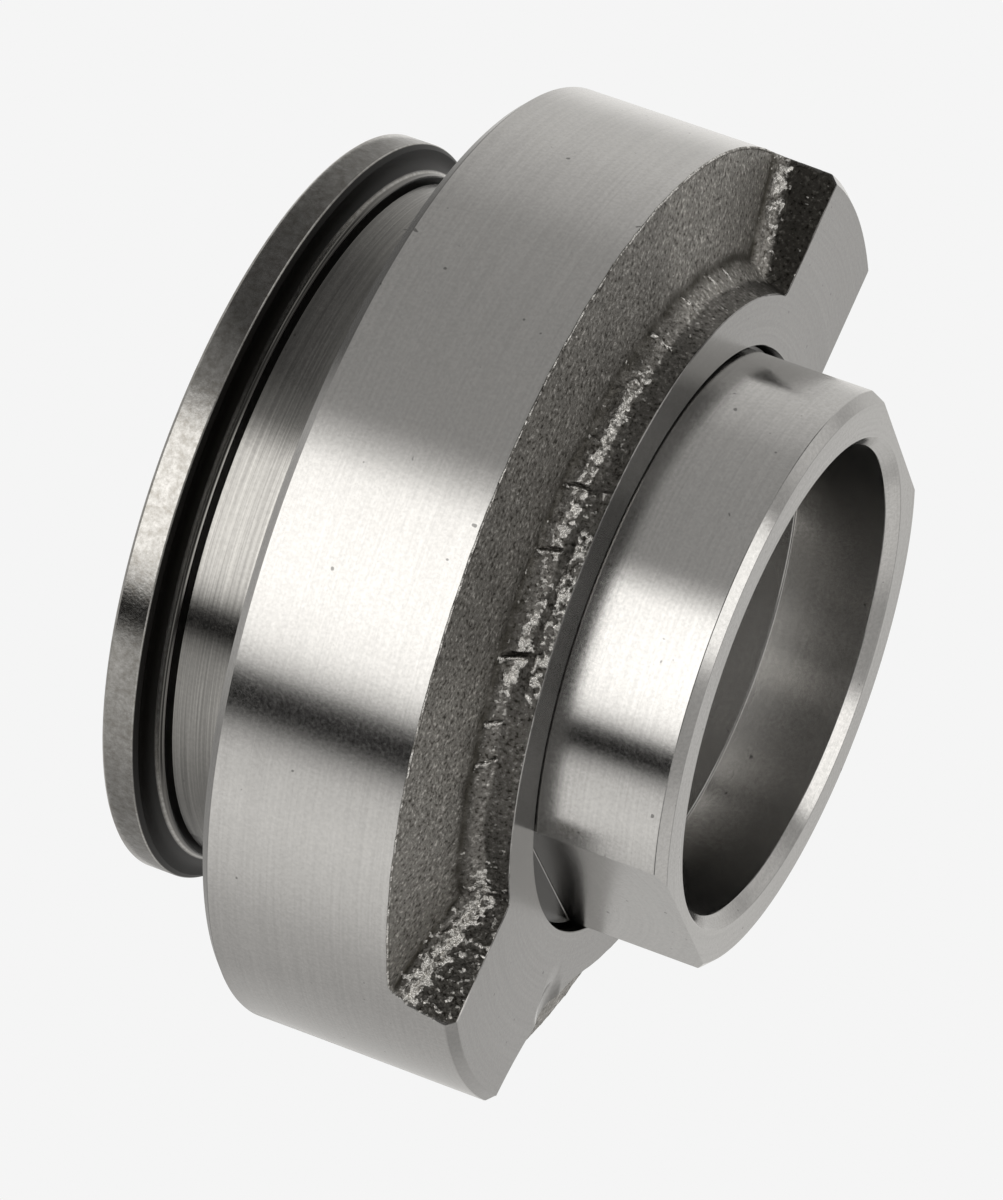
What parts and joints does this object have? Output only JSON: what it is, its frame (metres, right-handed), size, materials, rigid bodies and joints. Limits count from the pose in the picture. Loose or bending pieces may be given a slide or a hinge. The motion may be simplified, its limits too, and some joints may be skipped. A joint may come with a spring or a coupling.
{
  "type": "clutch release bearing",
  "caption": "Self-centring clutch release bearing: turned and forged carrier with two fork pads, flatted guide sleeve, and a rotating thrust ring on a long neck.",
  "frame": {"origin": "centre of the thrust face, which the clutch's release levers press on", "axes": "+Z along the bearing's axis, from the thrust face towards the guide sleeve's free end; the two fork pads lie along X"},
  "size_m": [0.1, 0.1, 0.0577],
  "materials": {
    "carrier": "turned outside, forged and dark where it is not machined",
    "sleeve": "fine turned",
    "thrust_ring": "hardened, dark and mottled",
    "ring_steel": "ground",
    "ball_steel": "polished",
    "cage": "moulded",
    "seal_case": "pressed",
    "seal_rubber": "matt",
    "spring_steel": "blued"
  },
  "bodies": {
    "carrier": {"carrier": "carrier", "outer_ring": "ring_steel", "seal_case": "seal_case", "seal_lip": "seal_rubber", "snap_ring": "spring_steel", "spring_plate": "spring_steel"},
    "rotor": {"inner_ring": "ring_steel", "thrust_ring": "thrust_ring"},
    "cage": {"ball_cage": "cage", "ball_01": "ball_steel", "ball_02": "ball_steel", "ball_03": "ball_steel", "ball_04": "ball_steel", "ball_05": "ball_steel", "ball_06": "ball_steel", "ball_07": "ball_steel", "ball_08": "ball_steel", "ball_09": "ball_steel", "ball_10": "ball_steel", "ball_11": "ball_steel", "ball_12": "ball_steel", "ball_13": "ball_steel", "ball_14": "ball_steel", "ball_15": "ball_steel", "ball_16": "ball_steel"},
    "float": {"wave_spring": "spring_steel"},
    "sleeve": {"guide_sleeve": "sleeve"}
  },
  "joints": [
    {"name": "ring_spin", "type": "hinge", "parent": "carrier", "child": "rotor", "pos_m": [0, 0, 0.0247], "axis": [0, 0, 1], "continuous": true},
    {"name": "cage_spin", "type": "hinge", "parent": "carrier", "child": "cage", "pos_m": [0, 0, 0.0247], "axis": [0, 0, 1], "continuous": true},
    {"name": "float_x", "type": "slide", "parent": "carrier", "child": "float", "axis": [1, 0, 0], "range_m": [-0.0003, 0.0003]},
    {"name": "float_y", "type": "slide", "parent": "float", "child": "sleeve", "axis": [0, 1, 0], "range_m": [-0.0003, 0.0003]}
  ],
  "couplings": [
    {"joint": "cage_spin", "follows": "ring_spin", "ratio": 0.4486}
  ]
}
